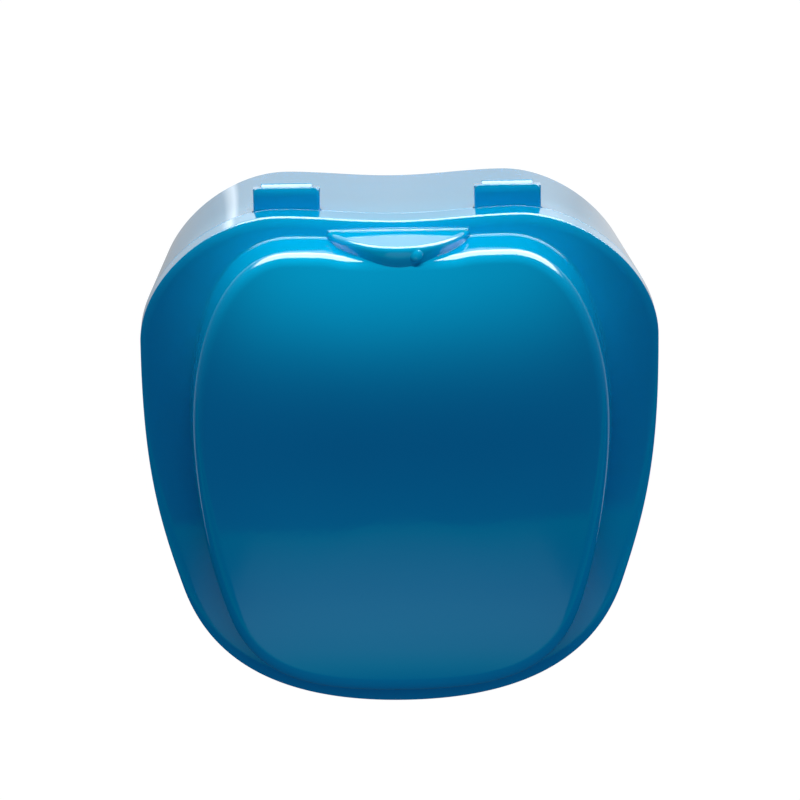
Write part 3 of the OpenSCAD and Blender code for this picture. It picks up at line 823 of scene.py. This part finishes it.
def softbox(nt, x, y, z):
    """How bright the softbox is in the direction x, y, z: a rounded oblong beyond the hinge end."""
    level = distance(nt, x, y)
    around, above = math_node(nt, "ARCTAN2", x, y), math_node(nt, "ARCTAN2", z, level)
    sides = []
    for angle, (middle, half) in ((around, SOFTBOX_AROUND), (above, SOFTBOX_UP)):
        off = math_node(nt, "ABSOLUTE", math_node(nt, "DIVIDE", less(nt, angle, middle), half))
        sides.append(math_node(nt, "POWER", off, SOFTBOX_SQUARE))
    return curve_node(nt, math_node(nt, "POWER", add(nt, *sides), 1 / SOFTBOX_SQUARE), SOFTBOX)


# A white floor. The camera sees it white, with the case's shadow. In the plastic's reflections it glows
# with painted light: a painted reflection of a dimmer floor beside the case, which varies round it, with a
# narrow painted streak, and fades outward, and the lower half of the softbox.
FLOOR_HALF, FLOOR_TINT, FLOOR_SHOWN, FLOOR_SHARE = 4, (0.82, 0.82, 0.82), 1.10, 0.9
# The floor's painted reflection round the case and outward from it; the narrow peak near -0.65 is a painted
# streak
FLOOR_AROUND = [(-3.15, 0.6), (-1.2, 0.42), (-0.95, 0.5), (-0.74, 0.6), (-0.67, 0.72), (-0.656, 1.7),
                (-0.644, 1.7), (-0.628, 0.8), (-0.55, 0.88), (0.0, 0.95), (0.6, 0.88), (0.75, 0.68),
                (0.95, 0.75), (1.2, 0.62), (3.15, 0.6)]
FLOOR_OUT = [(0.0, 1.0), (0.054, 1.0), (0.060, 1.6), (0.072, 1.6), (0.082, 1.1), (0.098, 1.7),
             (0.125, 1.6), (0.150, 0.6), (0.22, 0.28), (0.5, 0.12), (1.0, 0.05)]
floor = plane("floor", [(x * FLOOR_HALF, y * FLOOR_HALF, 0) for x, y in ((-1, -1), (1, -1), (1, 1), (-1, 1))])
mat, nt = new_material("floor_white")
x, y, _ = place_nodes(nt)
angle, out = math_node(nt, "ARCTAN2", x, y), distance(nt, x, y)
# Painted reflection of the floor near the case, which only glossy rays see
near = times(nt, curve_node(nt, angle, FLOOR_AROUND), curve_node(nt, out, FLOOR_OUT))
mirrored = add(nt, near, softbox(nt, x, less(nt, y, SOFTBOX_FROM[0]), -SOFTBOX_FROM[1]))
path = nt.nodes.new("ShaderNodeLightPath")
is_glossy = path.outputs["Is Glossy Ray"]
shown = times(nt, FLOOR_SHOWN, less(nt, 1.0, is_glossy))
glow = emission(nt)
nt.links.new(add(nt, shown, times(nt, mirrored, is_glossy)), glow.inputs["Strength"])
seen = math_node(nt, "MAXIMUM", path.outputs["Is Camera Ray"], is_glossy)
seen = math_node(nt, "MAXIMUM", seen, path.outputs["Is Transmission Ray"])
matt = nt.nodes["Principled BSDF"]
matt.inputs["Base Color"].default_value = (*FLOOR_TINT, 1)
matt.inputs["Roughness"].default_value = 1.0
matt.inputs["Specular IOR Level"].default_value = 0.0
mixer = nt.nodes.new("ShaderNodeMixShader")
nt.links.new(times(nt, seen, FLOOR_SHARE), mixer.inputs["Fac"])
nt.links.new(matt.outputs["BSDF"], mixer.inputs[1])
nt.links.new(glow.outputs["Emission"], mixer.inputs[2])
nt.links.new(mixer.outputs["Shader"], nt.nodes["Material Output"].inputs["Surface"])
put(floor, mat)

# A card under the case's narrow end, upright here, for a tabletop. It is no lamp, and only the plastic's
# reflections
# show it: a grey painted reflection that fades with height, and a blue-green painted sheen up to its far
# edge, which lies a little askew.
TABLE_Y, TABLE_LOW, TABLE_HIGH, TABLE_SIDE = -0.0437, 0.001, 0.212, 0.6
TABLE_TILT, TABLE_REFLECTION_TINT, TABLE_SHEEN = 0.066, (0.32, 0.50, 0.58), (0.0, 1.0, 0.6)
TABLE_FADE = [(0.088, 0.05), (0.096, 0.3), (0.107, 0.8), (0.120, 1.0), (0.134, 1.0), (0.150, 0.85),
              (0.166, 0.67), (0.185, 0.43), (0.207, 0.11), (0.214, 0.05)]
TABLE_EDGE = [(0.084, 0.0), (0.090, 0.3), (0.097, 0.55), (0.109, 0.34), (0.120, 0.26), (0.134, 0.2),
              (0.151, 0.14), (0.173, 0.25), (0.189, 0.35), (0.206, 0.5), (0.214, 0.5)]
TABLE_ACROSS = [(-0.6, 0.0), (-0.043, 0.0), (-0.0365, 1.0), (0.0375, 1.0), (0.044, 0.0), (0.6, 0.0)]
table = plane("table_card", [(-TABLE_SIDE, TABLE_Y, TABLE_LOW), (TABLE_SIDE, TABLE_Y, TABLE_LOW),
                             (TABLE_SIDE, TABLE_Y, TABLE_HIGH + TABLE_TILT),
                             (-TABLE_SIDE, TABLE_Y, TABLE_HIGH - TABLE_TILT)])
mat, nt = new_material("table_card")
nt.nodes.remove(nt.nodes["Principled BSDF"])
x, _, z = place_nodes(nt)
# The grey painted reflection and the blue-green painted sheen
glow, sheen = emission(nt, TABLE_REFLECTION_TINT), emission(nt, TABLE_SHEEN)
fade = times(nt, curve_node(nt, z, TABLE_FADE), curve_node(nt, x, TABLE_ACROSS))
nt.links.new(fade, glow.inputs["Strength"])
nt.links.new(curve_node(nt, z, TABLE_EDGE), sheen.inputs["Strength"])
both = nt.nodes.new("ShaderNodeAddShader")
nt.links.new(glow.outputs["Emission"], both.inputs[0])
nt.links.new(sheen.outputs["Emission"], both.inputs[1])
nt.links.new(both.outputs["Shader"], nt.nodes["Material Output"].inputs["Surface"])
put(table, mat)
table.visible_camera = table.visible_diffuse = table.visible_shadow = table.visible_transmission = False

# The room: a little bluish light from all round, more of it from the right. The camera sees white. The
# plastic mirrors the room dim, darkest overhead, with the softbox's upper half.
ROOM_LIGHT, ROOM_LEAN, WHITE = (0.200, 0.212, 0.300), 0.25, (1.0, 1.0, 1.0)
ROOM_MIRROR = [(-1.0, 0.10), (0.0, 0.10), (0.2, 0.05), (0.5, 0.02), (1.0, 0.02)]
world = bpy.data.worlds.new("studio")
bpy.context.scene.world = world
world.use_nodes = True
nt = world.node_tree
background = nt.nodes["Background"]
x, y, z = place_nodes(nt, "Generated")
path = nt.nodes.new("ShaderNodeLightPath")
is_glossy = path.outputs["Is Glossy Ray"]
mirrored = add(nt, curve_node(nt, z, ROOM_MIRROR), softbox(nt, x, y, z))
strength = add(nt, times(nt, mirrored, is_glossy), less(nt, 1.0, is_glossy))
more_right = times(nt, times(nt, x, ROOM_LEAN), path.outputs["Is Diffuse Ray"])
nt.links.new(add(nt, strength, more_right), background.inputs["Strength"])
unseen = pick(nt, is_glossy, ROOM_LIGHT, WHITE)
nt.links.new(pick(nt, path.outputs["Is Camera Ray"], unseen, WHITE), background.inputs["Color"])


def lamp(name, kind, where, colour, power):
    data = bpy.data.lights.new(name, kind)
    data.color, data.energy = colour, power
    obj = bpy.data.objects.new(name, data)
    bpy.context.scene.collection.objects.link(obj)
    obj.location = where
    obj.visible_camera = obj.visible_glossy = False
    return obj


# A low soft lamp beyond the hinge end. It lights the walls, and stays below the lid's face.
WALL_LAMP, WALL_LAMP_W, WALL_LAMP_H = (0, 0.46, 0.034), 0.8, 0.06
WALL_BRIGHT, WALL_TINT = 12.0, (1.0, 1.0, 0.87)
walls = lamp("wall_light", "AREA", WALL_LAMP, WALL_TINT, WALL_BRIGHT * math.pi * WALL_LAMP_W * WALL_LAMP_H)
walls.data.shape = "RECTANGLE"
walls.data.size, walls.data.size_y = WALL_LAMP_W, WALL_LAMP_H
walls.rotation_euler = (math.radians(-90), 0, 0)

# Five small lamps high beyond the hinge end, masked where they cross a level plane at the lid's top: a
# soft pool on the lid's hinge end, a faint one at its nose, and a faint light along the margin's sides
POOL_FAR, POOL_RISE, POOL_SPREAD, POOL_COUNT = 0.9, math.radians(48), 0.36, 5
POOL_CONE, POOL_LAMP_R = math.radians(120), 0.01
POOL_BRIGHT, POOL_TINT, POOL_PLANE = 1.117, (0.97, 1.0, 0.81), 0.070
POOL_X = [(-0.045, 0.0), (-0.040, 0.0), (-0.036, 0.08), (-0.0326, 0.34), (-0.0242, 0.84), (-0.0158, 1.0),
          (0.003, 1.0), (0.0179, 0.83), (0.0264, 0.70), (0.0348, 0.25), (0.039, 0.06), (0.045, 0.0)]
POOL_Y = [(-0.045, 0.0), (-0.0345, 0.15), (-0.024, 0.10), (-0.0095, 0.10), (-0.006, 0.0), (0.012, 0.0),
          (0.0156, 0.03), (0.0192, 0.11), (0.0228, 0.26), (0.0264, 0.44), (0.030, 0.64), (0.0335, 0.77),
          (0.0355, 0.88), (0.0385, 0.8), (0.0465, 0.7), (0.0482, 0.35), (0.0492, 0.06), (0.0508, 0.06),
          (0.0515, 0.15), (0.0520, 0.3), (0.0526, 0.5), (0.0532, 0.75), (0.0590, 0.75), (0.0594, 0.02),
          (0.0625, 0.02), (0.064, 0.0)]
# How far the pool follows the hinge end's dip, by x, in metres
POOL_DIP = [(-0.045, 0.0), (-0.0208, 0.0), (-0.009, 0.0006), (0.0, 0.001), (0.009, 0.0006), (0.0208, 0.0),
            (0.045, 0.0)]
POOL_SIDE = [(-0.050, 0.02), (-0.041, 0.02), (-0.036, 0.0), (0.036, 0.0), (0.041, 0.06), (0.050, 0.06)]
POOL_DOWN = [(-0.045, 4.0), (-0.0096, 3.6), (-0.0015, 1.8), (0.0128, 0.8), (0.0271, 0.2), (0.0415, 0.0),
             (0.050, 0.0)]


def pool_lamp(number):
    """One lamp of the row. Its ray's place on the level plane says how bright it is."""
    out = POOL_SPREAD * (number / (POOL_COUNT - 1) - 0.5)
    where = Vector((out, POOL_FAR * math.cos(POOL_RISE), POOL_PLANE + POOL_FAR * math.sin(POOL_RISE)))
    far = (where - Vector((0, 0, POOL_PLANE))).length
    light = lamp("lid_pool", "SPOT", where, POOL_TINT, POOL_BRIGHT / POOL_COUNT * 4 * math.pi ** 2 * far ** 2)
    light.data.spot_size, light.data.spot_blend = POOL_CONE, 0.0
    light.data.shadow_soft_size = POOL_LAMP_R
    light.data.use_nodes = True
    nt = light.data.node_tree
    x, y, z = place_nodes(nt, "Normal")
    drop = math_node(nt, "DIVIDE", where.z - POOL_PLANE, math_node(nt, "ABSOLUTE", z))
    across = add(nt, times(nt, x, drop), where.x)
    along = add(nt, times(nt, y, drop), where.y)
    along = add(nt, along, curve_node(nt, across, POOL_DIP))
    share = times(nt, curve_node(nt, across, POOL_X), curve_node(nt, along, POOL_Y))
    sides = times(nt, curve_node(nt, across, POOL_SIDE), curve_node(nt, along, POOL_DOWN))
    nt.links.new(add(nt, share, sides), nt.nodes["Emission"].inputs["Strength"])


for number in range(POOL_COUNT):
    pool_lamp(number)

# The camera of the photograph: how far off it stands, the point it is fitted to, the pixel where that
# point shows, and its focal length in pixels
IMAGE, SENSOR = 800, 36.0
FOCAL, DISTANCE = 4558.0, 0.8
AT = Vector((0.0, -0.00125, 0.052))
PIXEL = (400.85, 458.12)
ELEV, AZ, ROLL = math.radians(11.81), math.radians(-0.694), math.radians(0.818)
away = Vector((math.sin(AZ) * math.cos(ELEV), math.sin(ELEV), math.cos(AZ) * math.cos(ELEV)))
right = Vector((0, 1, 0)).cross(away).normalized()
up = away.cross(right)
facing = Matrix((right, up, away)).transposed()
facing = facing @ Matrix.Rotation(-ROLL, 3, "Z")
facing = facing @ Matrix.Rotation(math.atan((PIXEL[0] - IMAGE / 2) / FOCAL), 3, "Y")
facing = facing @ Matrix.Rotation(math.atan((PIXEL[1] - IMAGE / 2) / FOCAL), 3, "X")
data = bpy.data.cameras.new("photo_camera")
data.sensor_fit = "HORIZONTAL"
data.sensor_width = SENSOR
data.lens = FOCAL / IMAGE * SENSOR
camera = bpy.data.objects.new("photo_camera", data)
bpy.context.scene.collection.objects.link(camera)
camera.matrix_world = Matrix.Translation(AT + away * DISTANCE) @ facing.to_4x4()
bpy.context.scene.camera = camera

bpy.context.scene.view_settings.view_transform = "Standard"
